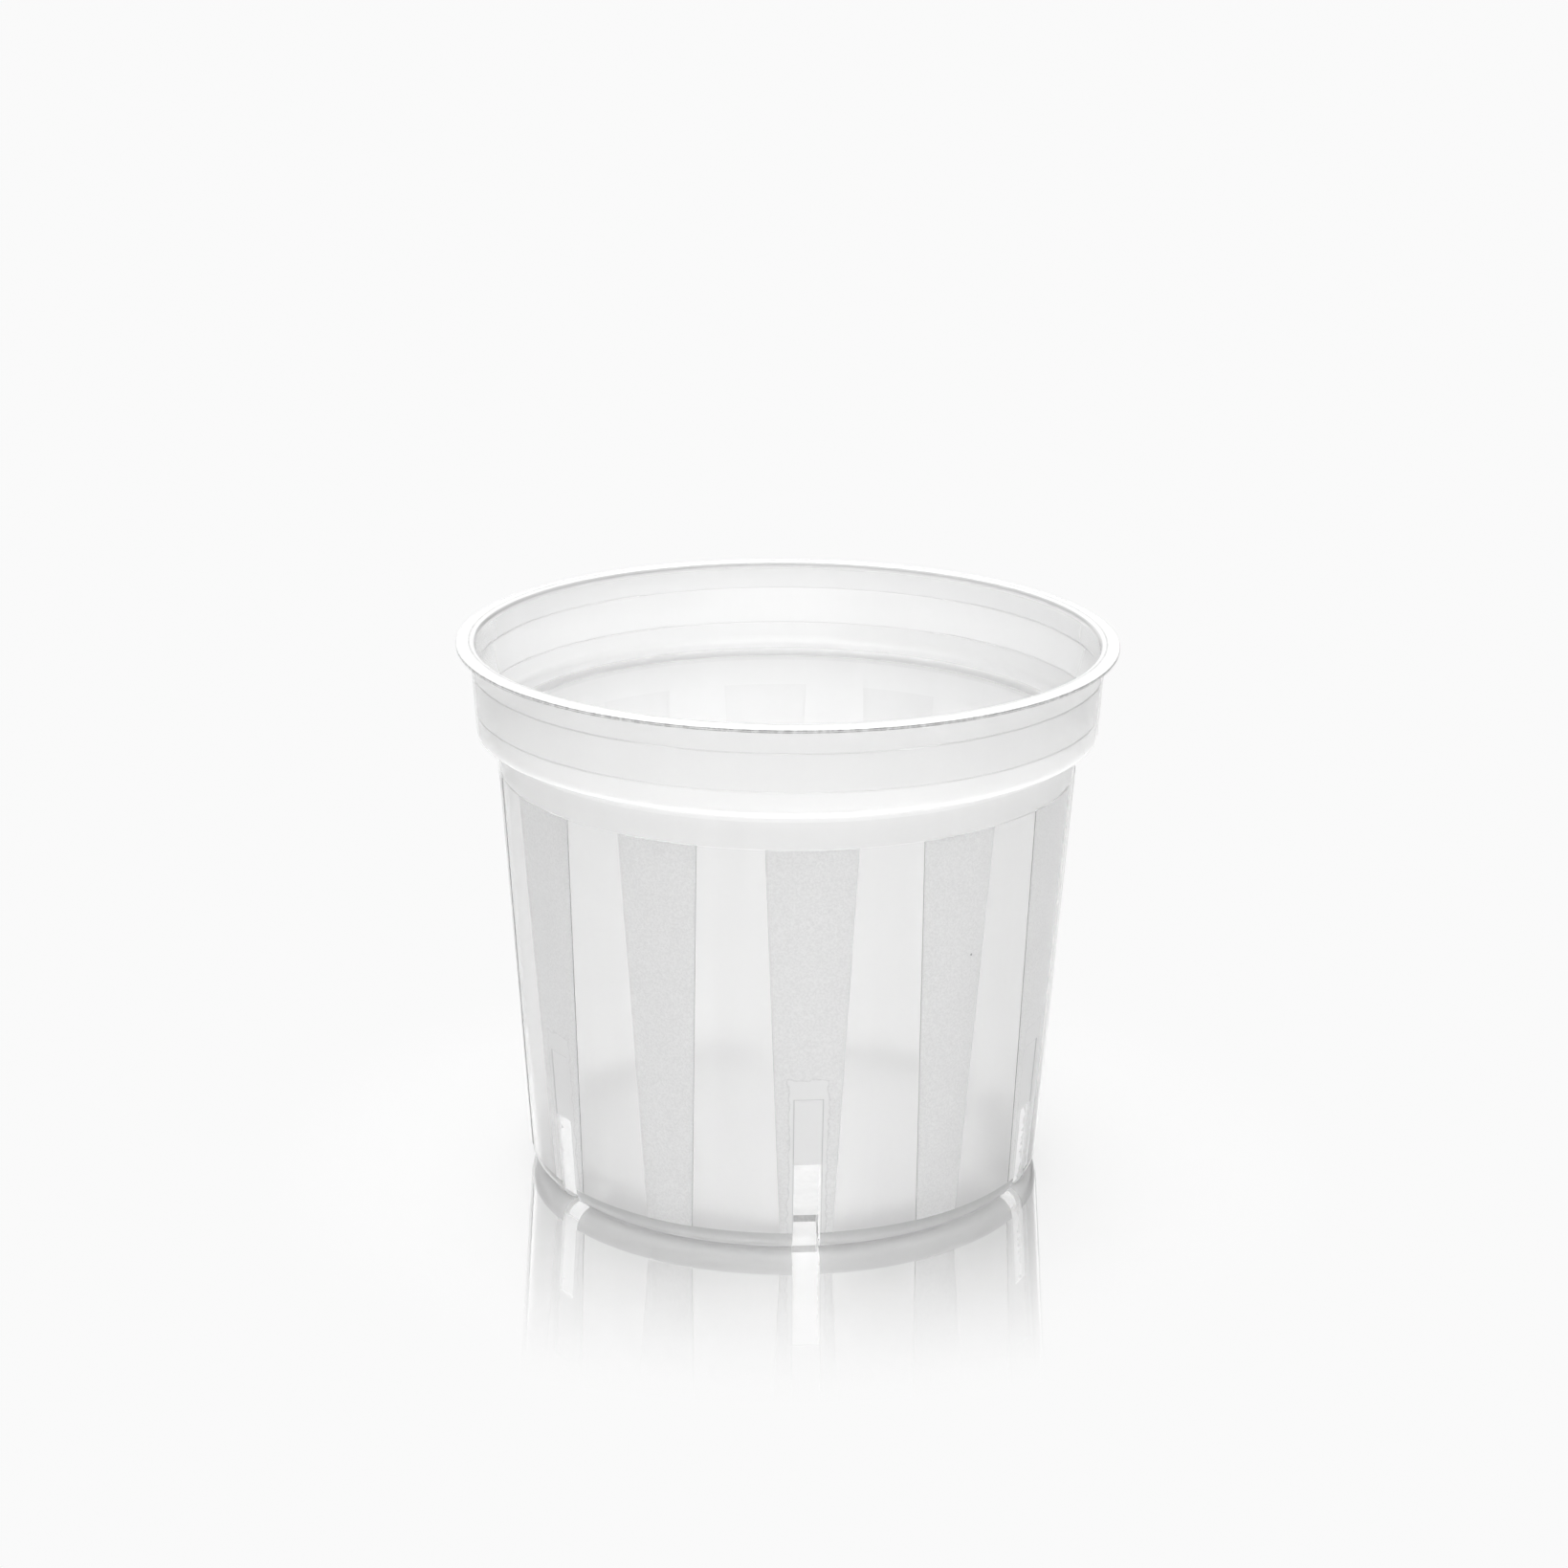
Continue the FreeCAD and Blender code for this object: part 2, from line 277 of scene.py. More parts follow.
# The lines of the half section, outer faces first and inner faces after them
RIM_PLANE = line_at(0, POT_HEIGHT, 0)
LIP_EDGE = line_at(LIP_RADIUS, 0, 90)
COLLAR_FACE = line_at(RIM_RADIUS - LIP_OVERHANG, POT_HEIGHT, 90 - COLLAR_TAPER_DEG)
SHOULDER_FOOT_RADIUS = at_height(COLLAR_FACE, SHOULDER_BOTTOM).x - SHOULDER_STEP
SHOULDER_UNDER = line_at(SHOULDER_FOOT_RADIUS, SHOULDER_BOTTOM, SHOULDER_SLOPE_DEG)
BAND_FACE = line_at(SHOULDER_FOOT_RADIUS, SHOULDER_BOTTOM, 90 - WALL_TAPER_DEG)
CLEAR_FACE = moved_in(BAND_FACE, -PANEL_STEP)
FROSTED_FACE = moved_in(CLEAR_FACE, -FROSTED_RISE)
WINDOW_FACE = moved_in(FROSTED_FACE, WINDOW_RECESS)
TABLE = line_at(0, 0, 0)
FOOT_INNER_RADIUS = at_height(CLEAR_FACE, 0).x - FOOT_WIDTH
FLOOR_RADIUS = FOOT_INNER_RADIUS - RISER_LEAN - RISER_ROUND
RISER_FALL_DEG = math.degrees(math.atan2(FLOOR_UNDER_HEIGHT, RISER_LEAN))
RISER = line_at(FOOT_INNER_RADIUS, 0, -RISER_FALL_DEG)
FLOOR_UNDER = line_at(0, FLOOR_UNDER_HEIGHT, 0)
COLLAR_INSIDE = moved_in(COLLAR_FACE, WALL)
LEDGE_FACE = moved_in(SHOULDER_UNDER, WALL)
WALL_INSIDE = moved_in(CLEAR_FACE, WALL)
CHANNEL_FACE = moved_in(TABLE, WALL)
RISER_INSIDE = moved_in(RISER, WALL)
FLOOR_FACE = line_at(0, FLOOR_TOP_HEIGHT, 0)
DRAW_FACE = at_height(WINDOW_FACE, SLOT_TOP).x - PANE_THICKNESS


def rounded(corners):
    """A path through (point, radius) corners, with an arc where there is a radius."""
    path = []
    for index, (point, radius) in enumerate(corners):
        if not radius:
            path.append(point)
            continue
        to_last = (corners[index - 1][0] - point).normalized()
        to_next = (corners[index + 1][0] - point).normalized()
        half_corner = to_last.angle(to_next) / 2
        setback = radius / math.tan(half_corner)
        centre = point + (to_last + to_next).normalized() * (radius / math.sin(half_corner))
        start = point + to_last * setback - centre
        end = point + to_next * setback - centre
        for step in range(ARC_STEPS + 1):
            spoke = start.lerp(end, step / ARC_STEPS).normalized()
            path.append(centre + spoke * radius)
    return path


def moulded_line(face_line, height, depth):
    """The corners of a fine V groove in an upright face, from below upward."""
    return [
        (at_height(face_line, height - LINE_BELOW), 0),
        (at_height(moved_in(face_line, depth), height), 0),
        (at_height(face_line, height + LINE_ABOVE), 0),
    ]


def resampled(path, count):
    """A path's points spread evenly along it, as many as asked for."""
    lengths = [0.0]
    for start, end in zip(path, path[1:]):
        lengths.append(lengths[-1] + (end - start).length)
    points = []
    place = 0
    for step in range(count):
        wanted = lengths[-1] * step / (count - 1)
        while place < len(path) - 2 and lengths[place + 1] < wanted:
            place += 1
        span = lengths[place + 1] - lengths[place]
        points.append(path[place].lerp(path[place + 1], (wanted - lengths[place]) / span))
    return points


class Row:
    """One ring of the wall: its points, what stands on it, and the finishes above it."""

    def __init__(self, outer, inner, panels=False, window=False, draw=False):
        self.outer = outer
        self.inner = inner
        self.panels = panels
        self.window = window
        self.draw = draw
        self.outer_finish = None
        self.inner_finish = None


def floor_rows():
    """From the middle of the floor to where the feet begin, underside as the outer face."""
    roof = FLOOR_UNDER_HEIGHT + GATE_DIMPLE_DEPTH
    under = [
        (0, roof - GATE_MARK_HEIGHT),
        (GATE_MARK_RADIUS, roof - GATE_MARK_HEIGHT),
        (GATE_MARK_RADIUS, roof),
        (GATE_DIMPLE_RADIUS, roof),
        (GATE_DIMPLE_RADIUS, FLOOR_UNDER_HEIGHT),
    ]
    for ring in range(1, DISC_RINGS + 1):
        share = ring / DISC_RINGS
        radius = GATE_DIMPLE_RADIUS + (FLOOR_RADIUS - GATE_DIMPLE_RADIUS) * share
        under.append((radius, FLOOR_UNDER_HEIGHT))
    return [Row(Vector(point), Vector((point[0], FLOOR_TOP_HEIGHT))) for point in under]


def foot_rows():
    """From the floor's edge, down the riser, along the table and up round the corner."""
    outer = rounded([
        (Vector((FLOOR_RADIUS, FLOOR_UNDER_HEIGHT)), 0),
        (crossing(FLOOR_UNDER, RISER), RISER_ROUND),
        (crossing(RISER, TABLE), FOOT_INNER_ROUND),
        (crossing(TABLE, CLEAR_FACE), CORNER_ROUND),
        (at_height(CLEAR_FACE, PANEL_BOTTOM), 0),
    ])
    inner = rounded([
        (Vector((FLOOR_RADIUS, FLOOR_TOP_HEIGHT)), 0),
        (crossing(FLOOR_FACE, RISER_INSIDE), RISER_ROUND + WALL),
        (crossing(RISER_INSIDE, CHANNEL_FACE), CHANNEL_ROUND),
        (crossing(CHANNEL_FACE, WALL_INSIDE), CORNER_ROUND - WALL),
        (at_height(WALL_INSIDE, PANEL_BOTTOM), 0),
    ])
    return [Row(*points) for points in zip(outer[1:], inner[1:])]


def panel_rows():
    """Up the panels, with two rows where a slot or a window ends, and the step to the band."""
    stops = [
        (PANEL_BOTTOM, False, False),
        (SLOT_TOP, False, False),
        (SLOT_TOP, True, True),
        (WINDOW_TOP, True, True),
        (WINDOW_TOP + WINDOW_DRAFT, False, True),
        (PANEL_TOP - STEP_SLOPE, False, True),
    ]
    rows = []
    for (start, _, _), (end, window, draw) in zip(stops, stops[1:]):
        steps = max(1, round((end - start) / ROW_HEIGHT))
        for step in range(1, steps + 1):
            height = start + (end - start) * step / steps
            rows.append(wall_row(height, window, draw))

    # The slope from the frosted panels to the band takes the lip's pale finish: a painted highlight
    rows[-1].outer_finish = "natural_lip_and_painted_highlight"
    step_down = Row(at_height(BAND_FACE, PANEL_TOP), at_height(WALL_INSIDE, PANEL_TOP), draw=True)
    return [wall_row(PANEL_BOTTOM, False, False)] + rows + [step_down]


def wall_row(height, window, draw):
    """A row across the panels at a height."""
    return Row(at_height(CLEAR_FACE, height), at_height(WALL_INSIDE, height), True, window, draw)


def band_rows():
    """Up the plain band, in one step."""
    return [Row(at_height(BAND_FACE, BAND_TOP), at_height(WALL_INSIDE, BAND_TOP))]


def shoulder_rows():
    """Round the shoulder, up to the middle of the line above it."""
    outer = rounded([
        (at_height(BAND_FACE, BAND_TOP), 0),
        (crossing(BAND_FACE, SHOULDER_UNDER), SHOULDER_FOOT_ROUND),
        (crossing(SHOULDER_UNDER, COLLAR_FACE), SHOULDER_EDGE_ROUND),
        *moulded_line(COLLAR_FACE, SHOULDER_TOP, LINE_DEPTH)[:2],
    ])
    inner = rounded([
        (at_height(WALL_INSIDE, BAND_TOP), 0),
        (crossing(WALL_INSIDE, LEDGE_FACE), SHOULDER_FOOT_ROUND + WALL),
        (crossing(LEDGE_FACE, COLLAR_INSIDE), SHOULDER_INSIDE_FILLET),
        *moulded_line(COLLAR_INSIDE, SHOULDER_TOP, -INSIDE_LINE_DEPTH)[:2],
    ])
    rows = [Row(*points) for points in zip(outer[1:], inner[1:])]
    # The inner round under the ledge takes a darker finish: a painted shade line along the inside
    # corner.
    for row in rows[:ARC_STEPS]:
        row.inner_finish = "natural_corner_painted_shade"
    return rows


def collar_rows():
    """From the line above the shoulder, past the next one, to the lip."""
    faces = []
    for face, depth in ((COLLAR_FACE, LINE_DEPTH), (COLLAR_INSIDE, -INSIDE_LINE_DEPTH)):
        corners = moulded_line(face, SHOULDER_TOP, depth)[2:]
        corners += moulded_line(face, COLLAR_LINE_HEIGHT, depth)
        faces.append([point for point, _ in corners] + [at_height(face, LIP_ZONE_BOTTOM)])
    return [Row(*points) for points in zip(*faces)]


def lip_rows():
    """Out under the lip, round its edge, up its bevel and over to the inner round."""
    inner = rounded([
        (at_height(COLLAR_INSIDE, LIP_ZONE_BOTTOM), 0),
        (crossing(COLLAR_INSIDE, RIM_PLANE), LIP_INNER_ROUND),
        (at_height(LIP_EDGE, POT_HEIGHT), 0),
    ])[:-1]
    outer = rounded([
        (at_height(COLLAR_FACE, LIP_ZONE_BOTTOM), 0),
        (at_height(COLLAR_FACE, LIP_BOTTOM), LIP_UNDER_FILLET),
        (at_height(LIP_EDGE, LIP_BOTTOM), LIP_EDGE_ROUND),
        (at_height(LIP_EDGE, LIP_BOTTOM + LIP_EDGE_SHADE_LINE), 0),
        (at_height(LIP_EDGE, POT_HEIGHT - LIP_BEVEL_DROP - LIP_EDGE_SHADE_LINE), 0),
        (at_height(LIP_EDGE, POT_HEIGHT - LIP_BEVEL_DROP), LIP_EDGE_ROUND),
        (at_height(moved_in(LIP_EDGE, LIP_BEVEL_WIDTH), POT_HEIGHT), 0),
        (inner[-1] + Vector((LIP_CREST_LINE, 0.0)), 0),
        (inner[-1], 0),
    ])
    inner = resampled(inner, len(outer))
    rows = [Row(*points) for points in zip(outer[1:], inner[1:])]

    # The under fillet comes first, then the side between its two rounds, and the crest last
    lower_round = ARC_STEPS + 1
    side = lower_round + ARC_STEPS + 1
    upper_round = side + 1
    # The lip's two edge rounds, its side and its crest take darker finishes: painted shade lines.
    for start in (lower_round, upper_round):
        for row in rows[start:start + ARC_STEPS + 1]:
            row.outer_finish = "natural_lip_edge_painted_shade"
    rows[side].outer_finish = "natural_lip_side_painted_shade"
    rows[-2].outer_finish = "natural_lip_crest_painted_shade"
    # A band of the lip's inner round takes a darker finish: a painted shade line.
    for row in rows:
        if LIP_SHADE_DEPTHS[0] < POT_HEIGHT - row.inner.y < LIP_SHADE_DEPTHS[1]:
            row.inner_finish = "natural_lip_round_painted_shade"
    return rows


# Half of one slot's share of the pot, from the slot's middle to the plain frosted panel's middle.
# Each stop is an edge that runs up the wall, and each count is the steps between two of them.
STEPS_BETWEEN_STOPS = (3, 1, 5, 1, 9, 1, 6)
STOPS = [sum(STEPS_BETWEEN_STOPS[:count]) for count in range(len(STEPS_BETWEEN_STOPS) + 1)]
MIDDLE, SLOT_EDGE, FACE_EDGE, SLOTTED_IN, SLOTTED_OUT, PLAIN_OUT, PLAIN_IN, HALF = STOPS
SECTOR = 2 * HALF
COLUMNS = SLOT_COUNT * SECTOR
PITCH = math.tau / SLOT_COUNT


def panel_width(height, top_width, bottom_width):
    """A frosted panel's width at a height, kept as at its ends above and below it."""
    share = (height - PANEL_BOTTOM) / (PANEL_TOP - PANEL_BOTTOM)
    share = min(1, max(0, share))
    return bottom_width + (top_width - bottom_width) * share


def half_angles(point):
    """The angles of a half share's columns, for a point of the section."""
    if not point.x:
        return [PITCH / 2 * place / HALF for place in range(HALF + 1)]
    slotted = panel_width(point.y, SLOTTED_TOP_WIDTH, SLOTTED_BOTTOM_WIDTH) / 2
    plain = panel_width(point.y, FROSTED_TOP_WIDTH, FROSTED_BOTTOM_WIDTH) / 2
    reach = min(1, point.x / FLOOR_RADIUS)
    sides = [0, SLOT_WIDTH / 2, SLOT_WIDTH / 2 + WINDOW_DRAFT, slotted, slotted + EDGE_DRAFT]
    stops = [math.asin(side * reach / point.x) for side in sides]
    stops.append(PITCH / 2 - math.asin((plain + EDGE_DRAFT) * reach / point.x))
    stops.append(PITCH / 2 - math.asin(plain * reach / point.x))
    stops.append(PITCH / 2)
    angles = [0]
    for start, end, steps in zip(stops, stops[1:], STEPS_BETWEEN_STOPS):
        angles += [start + (end - start) * step / steps for step in range(1, steps + 1)]
    return angles


def column_angle(angles, column):
    """A column's angle from -Y towards +X."""
    sector, place = divmod(column, SECTOR)
    if place > HALF:
        return PITCH * (sector + 1) - angles[SECTOR - place]
    return PITCH * sector + angles[place]


def placed(radius, angle, height):
    """The point at a radius, an angle from -Y towards +X, and a height, in metres."""
    return Vector((radius * math.sin(angle), -radius * math.cos(angle), height)) * MM


def wall_points(row, face):
    """A row's ring of points on its outer or inner face, in metres."""
    point = getattr(row, face)
    angles = half_angles(point)
    ring = []
    for column in range(COLUMNS):
        place = column % SECTOR
        place = min(place, SECTOR - place)
        radius = point.x
        angle = column_angle(angles, column)
        if face == "outer" and row.panels:
            if place <= SLOT_EDGE and row.window:
                radius = at_height(WINDOW_FACE, point.y).x
            elif place <= SLOTTED_IN or place >= PLAIN_IN:
                radius = at_height(FROSTED_FACE, point.y).x
        if face == "inner" and row.draw and place <= SLOT_EDGE:
            radius = max(radius, DRAW_FACE / math.cos(angle - PITCH * round(angle / PITCH)))
        ring.append(placed(radius, angle, point.y))
    return ring


def zone_of(column, kind):
    """The node that a cell of the wall belongs to, or nothing in a slot."""
    sector, place = divmod(column, SECTOR)
    place = min(place, SECTOR - 1 - place)
    after_half = column % SECTOR >= HALF
    in_slot = place < SLOT_EDGE
    if kind == "foot":
        return None if in_slot else f"foot_segment_{sector + 1:02d}"
    if kind in ("slot", "panel"):
        if kind == "slot" and in_slot:
            return None
        if place < SLOTTED_OUT:
            return f"slotted_panel_{(sector + after_half) % SLOT_COUNT + 1:02d}"
        if place >= PLAIN_OUT:
            return f"frosted_panel_{sector + 1:02d}"
        return f"clear_panel_{2 * sector + after_half + 1:02d}"
    return kind


def wall_rows():
    """Every row from the middle of the floor to the lip, and the kind of zone between rows."""
    rows, kinds = [], []
    panels = panel_rows()
    slot_rows = 1 + sum(1 for row in panels if not row.draw)
    runs = [
        (floor_rows(), "floor"),
        (foot_rows(), "foot"),
        (panels[:slot_rows], "slot"),
        (panels[slot_rows:], "panel"),
        (band_rows(), "wall_band"),
        (shoulder_rows(), "shoulder"),
        (collar_rows(), "collar"),
        (lip_rows(), "rim_lip"),
    ]
    for run, kind in runs:
        kinds += [kind] * (len(run) if rows else len(run) - 1)
        rows += run
    return rows, kinds


class Graph:
    """The nodes of a material or of the world, and the links between them."""

    def __init__(self, owner, output):
        owner.use_nodes = True
        self.nodes = owner.node_tree.nodes
        self.links = owner.node_tree.links
        self.nodes.clear()
        self.output = self.nodes.new(output)

    def add(self, kind, inputs=None, **settings):
        """A new node with its settings. Each input is a number or another node's output."""
        node = self.nodes.new(f"ShaderNode{kind}")
        for name, value in settings.items():
            setattr(node, name, value)
        for name, value in (inputs or {}).items():
            if isinstance(value, bpy.types.NodeSocket):
                self.links.new(value, node.inputs[name])
            else:
                node.inputs[name].default_value = value
        return node

    def math(self, operation, *values):
        """Values put together by one operation."""
        return self.add("Math", dict(enumerate(values)), operation=operation).outputs["Value"]

    def scaled(self, value, ends, start, end):
        """A value taken smoothly from the range between two ends to another range."""
        inputs = {
            "Value": value,
            "From Min": ends[0],
            "From Max": ends[1],
            "To Min": start,
            "To Max": end,
        }
        return self.add("MapRange", inputs, interpolation_type="SMOOTHSTEP").outputs["Result"]

    def noise(self, place, scale, roughness=SOFT_ROUGHNESS):
        """A soft random value at a place."""
        inputs = {"Vector": place, "Scale": scale, "Detail": NOISE_DETAIL, "Roughness": roughness}
        return self.add("TexNoise", inputs).outputs["Fac"]

    def mix(self, share, first, second):
        """Two shaders mixed, with the second one's share."""
        return self.add("MixShader", {"Fac": share, 1: first, 2: second}).outputs["Shader"]

    def finish(self, surface):
        """The last shader, linked to the output."""
        self.links.new(surface, self.output.inputs["Surface"])


def grey(level):
    """A colour with three equal channels."""
    return (level, level, level, 1)


class Look(NamedTuple):
    """One finish of the plastic."""

    # How pale it is, and how much of its milk lets light through instead of throwing it back
    shade: float
    through: float

    # Its clear share and how blurred that is, and how blurred its gloss is
    clear: float
    blur: float
    gloss: float

    # The grain's scale, its relief in millimetres and its tone, the streaks' tone, and whether there
    # are windows with a smooth margin
    grain: float = 900.0
    relief: float = 0.002
    speckle: float = 0.0
    streaks: float = 0.0
    halo: bool = False


def window_masks(graph, place):
    """1 in the smooth margin round a window, in it and its rim, in the window, in it and its draft."""
    parts = graph.add("SeparateXYZ", {"Vector": place}).outputs
    turn = graph.math("ARCTAN2", parts["X"], graph.math("MULTIPLY", parts["Y"], -1.0))
    from_window = graph.math("ABSOLUTE", graph.math("WRAP", turn, PITCH / 2, -PITCH / 2))
    arc = graph.math("MULTIPLY", from_window, HALO_RADIUS * MM)
    wander = graph.noise(place, HALO_ROUGH_SCALE)
    shift = graph.scaled(wander, NOISE_RANGE, -HALO_ROUGH * MM, HALO_ROUGH * MM)
    edge = graph.math("ADD", arc, shift)
    rise = graph.math("ADD", parts["Z"], shift)
    masks = []
    for across, up, half, top in (
        (edge, rise, HALO_HALF, HALO_TOP),
        (edge, rise, HALO_HALF + HALO_RIM, HALO_TOP + HALO_RIM),
        (arc, parts["Z"], SLOT_WIDTH / 2, WINDOW_TOP),
        (arc, parts["Z"], SLOT_WIDTH / 2 + WINDOW_DRAFT, WINDOW_TOP + WINDOW_DRAFT),
    ):
        near = graph.scaled(across, (half * MM, (half + HALO_FADE) * MM), 1.0, 0.0)
        under = graph.scaled(up, (top * MM, (top + HALO_FADE) * MM), 1.0, 0.0)
        masks.append(graph.math("MULTIPLY", near, under))
    return masks


def border(graph, inner, wider, tone):
    """A tone where the wider mask is set and the inner one isn't."""
    return graph.math("MULTIPLY", graph.math("SUBTRACT", wider, inner), tone)


def specks(graph, place):
    """The depth of a few tiny dark specks, as there are in any such moulding."""
    cells = graph.add("TexVoronoi", {"Vector": place, "Scale": SPECK_CELLS}).outputs
    pick = graph.add("TexWhiteNoise", {"Vector": cells["Position"]}, noise_dimensions="3D")
    chosen = graph.math("LESS_THAN", pick.outputs["Value"], SPECK_SHARE)
    reach = SPECK_RADIUS * MM * SPECK_CELLS
    spot = graph.scaled(cells["Distance"], (reach * SPECK_CORE, reach), SPECK_DEPTH, 0.0)
    return graph.math("MULTIPLY", chosen, spot)


def streaks(graph, place, depth):
    """A tone that varies round the pot and hardly with height."""
    scale = {"Vector": place, "Scale": (1, 1, STREAK_STRETCH)}
    stretched = graph.add("Mapping", scale).outputs["Vector"]
    return graph.scaled(graph.noise(stretched, STREAK_SCALE), NOISE_RANGE, -depth, 0.0)


def milk(graph, tone, normal, through):
    """Light scattered back, and light scattered through the wall."""
    inputs = {"Color": tone, "Normal": normal}
    back = graph.add("BsdfDiffuse", inputs).outputs["BSDF"]
    forth = graph.add("BsdfTranslucent", inputs).outputs["BSDF"]
    return graph.mix(through, back, forth)


def with_gloss(graph, surface, normal, blur):
    """A surface under its gloss, which only its outward side has."""
    fresnel = graph.add("Fresnel", {"IOR": PLASTIC_IOR, "Normal": normal}).outputs["Fac"]
    outward = graph.math("SUBTRACT", 1.0, graph.add("NewGeometry").outputs["Backfacing"])
    inputs = {"Color": grey(1.0), "Roughness": blur, "Normal": normal}
    gloss = graph.add("BsdfGlossy", inputs).outputs["BSDF"]
    return graph.mix(graph.math("MULTIPLY", fresnel, outward), surface, gloss)


def clear_plastic(graph, normal, blur):
    """Plastic that lets light straight through, with some blur."""
    return graph.add("BsdfPrincipled", {
        "Base Color": grey(1.0),
        "Roughness": blur,
        "IOR": PLASTIC_IOR,
        "Transmission Weight": 1.0,
        "Normal": normal,
    }).outputs["BSDF"]


def natural(name, look):
    """Milky plastic: light through the wall, light scattered back, gloss, and a clear share."""
    made = bpy.data.materials.new(name)
    graph = Graph(made, "ShaderNodeOutputMaterial")
    place = graph.add("TexCoord").outputs["Object"]
    height = graph.noise(place, look.grain, GRAIN_ROUGHNESS)
    speckle = graph.scaled(height, NOISE_RANGE, -look.speckle, look.speckle)
    clear = look.clear
    if look.halo:
        halo, wider_halo, window, wider_window = window_masks(graph, place)
        frosted = graph.math("SUBTRACT", 1.0, halo)
        height = graph.math("MULTIPLY", height, frosted)
        speckle = graph.math("MULTIPLY", speckle, frosted)
        rim = border(graph, halo, wider_halo, -HALO_RIM_TONE)
        # A painted shade line along each window's draft.
        line = border(graph, window, wider_window, -WINDOW_LINE_PAINTED_SHADE)
        speckle = graph.math("ADD", graph.math("ADD", speckle, rim), line)
        clear = graph.math("ADD", graph.math("MULTIPLY", halo, HALO_CLEAR), clear)
    tone = graph.math("ADD", speckle, streaks(graph, place, look.streaks))
    tone = graph.math("ADD", tone, look.shade)
    tone = graph.math("SUBTRACT", tone, specks(graph, place))
    relief = {"Strength": 1.0, "Distance": look.relief * MM, "Height": height}
    normal = graph.add("Bump", relief).outputs["Normal"]
    surface = milk(graph, tone, normal, look.through)
    surface = with_gloss(graph, surface, normal, look.gloss)
    if look.clear:
        surface = graph.mix(clear, surface, clear_plastic(graph, normal, look.blur))
    graph.finish(surface)
    return made


def joint_material():
    """Where two zones of the one moulding meet inside the wall there is nothing to see."""
    made = bpy.data.materials.new("inside_the_wall")
    graph = Graph(made, "ShaderNodeOutputMaterial")
    graph.finish(graph.add("BsdfTransparent").outputs["BSDF"])
    return made


LOOKS = {
    "natural_gloss": Look(0.99, 0.85, clear=0.45, blur=0.14, gloss=0.1, streaks=0.012),
    # The lip's pale finish, also a painted highlight on the slope along the panels' top edge.
    "natural_lip_and_painted_highlight": Look(0.93, 0.5, clear=0.3, blur=0.1, gloss=0.08, grain=500.0, relief=0.001),
    # A painted shade line on the inner round under the ledge.
    "natural_corner_painted_shade": Look(0.85, 0.85, clear=0.1, blur=0.2, gloss=0.1),
    # Painted shade lines on the drafts along the frosted panels' edges.
    "natural_panel_edge_painted_shade": Look(0.35, 0.6, clear=0.1, blur=0.2, gloss=0.2),
    # Painted shade lines on the lip's edge rounds, its side and its crest.
    "natural_lip_side_painted_shade": Look(
        0.75, 0.5, clear=0.0, blur=0.3, gloss=0.3, grain=700.0, relief=0.01, speckle=0.1),
    "natural_lip_edge_painted_shade": Look(
        0.42, 0.5, clear=0.0, blur=0.3, gloss=0.4, grain=700.0, relief=0.01, speckle=0.12),
    "natural_lip_crest_painted_shade": Look(
        0.55, 0.5, clear=0.0, blur=0.3, gloss=0.1, grain=700.0, relief=0.01, speckle=0.05),
    # A painted shade line on the lip's inner round.
    "natural_lip_round_painted_shade": Look(0.6, 0.5, clear=0.1, blur=0.2, gloss=0.1, grain=700.0),
    "natural_behind": Look(0.95, 0.35, clear=0.7, blur=0.12, gloss=0.1, streaks=0.01),
    "natural_ledge": Look(0.95, 0.85, clear=0.7, blur=0.12, gloss=0.2, streaks=0.01),
    "natural_inside": Look(0.99, 0.2, clear=0.7, blur=0.12, gloss=0.1, streaks=0.01),
    "natural_panel": Look(0.96, 0.85, clear=0.42, blur=0.16, gloss=0.1, streaks=0.02),
    # A darker copy of the panels' finish: painted shade on the band below the shoulder.
    "natural_band_painted_shade": Look(0.935, 0.85, clear=0.42, blur=0.16, gloss=0.1, streaks=0.02),
    "natural_shoulder": Look(0.955, 0.85, clear=0.4, blur=0.14, gloss=0.1, relief=0.001),
    "natural_frosted": Look(
        0.895, 0.85, clear=0.05, blur=0.6, gloss=0.5,
        grain=2500.0, relief=0.04, speckle=0.045, streaks=0.01, halo=True),
    "natural_edge": Look(
        0.99, 0.8, clear=0.0, blur=0.3, gloss=0.3, grain=1500.0, relief=0.02, speckle=0.02),
    # The floor's cut edge at the slots is darker: painted shade.
    "natural_cut_painted_shade": Look(
        0.5, 0.4, clear=0.1, blur=0.3, gloss=0.3, grain=1500.0, relief=0.02, speckle=0.05),
    # A darker copy of the plastic for the feet: painted shade on the corner's underside, where the pot
    # meets the table.
    "natural_foot": Look(
        0.64, 0.8, clear=0.35, blur=0.2, gloss=0.15, relief=0.004, speckle=0.01),
    "natural_floor": Look(
        0.94, 0.75, clear=0.1, blur=0.3, gloss=0.2, grain=300.0, relief=0.004, speckle=0.03),
}
FINISHES = {name: natural(name, look) for name, look in LOOKS.items()}
FINISHES["inside_the_wall"] = joint_material()

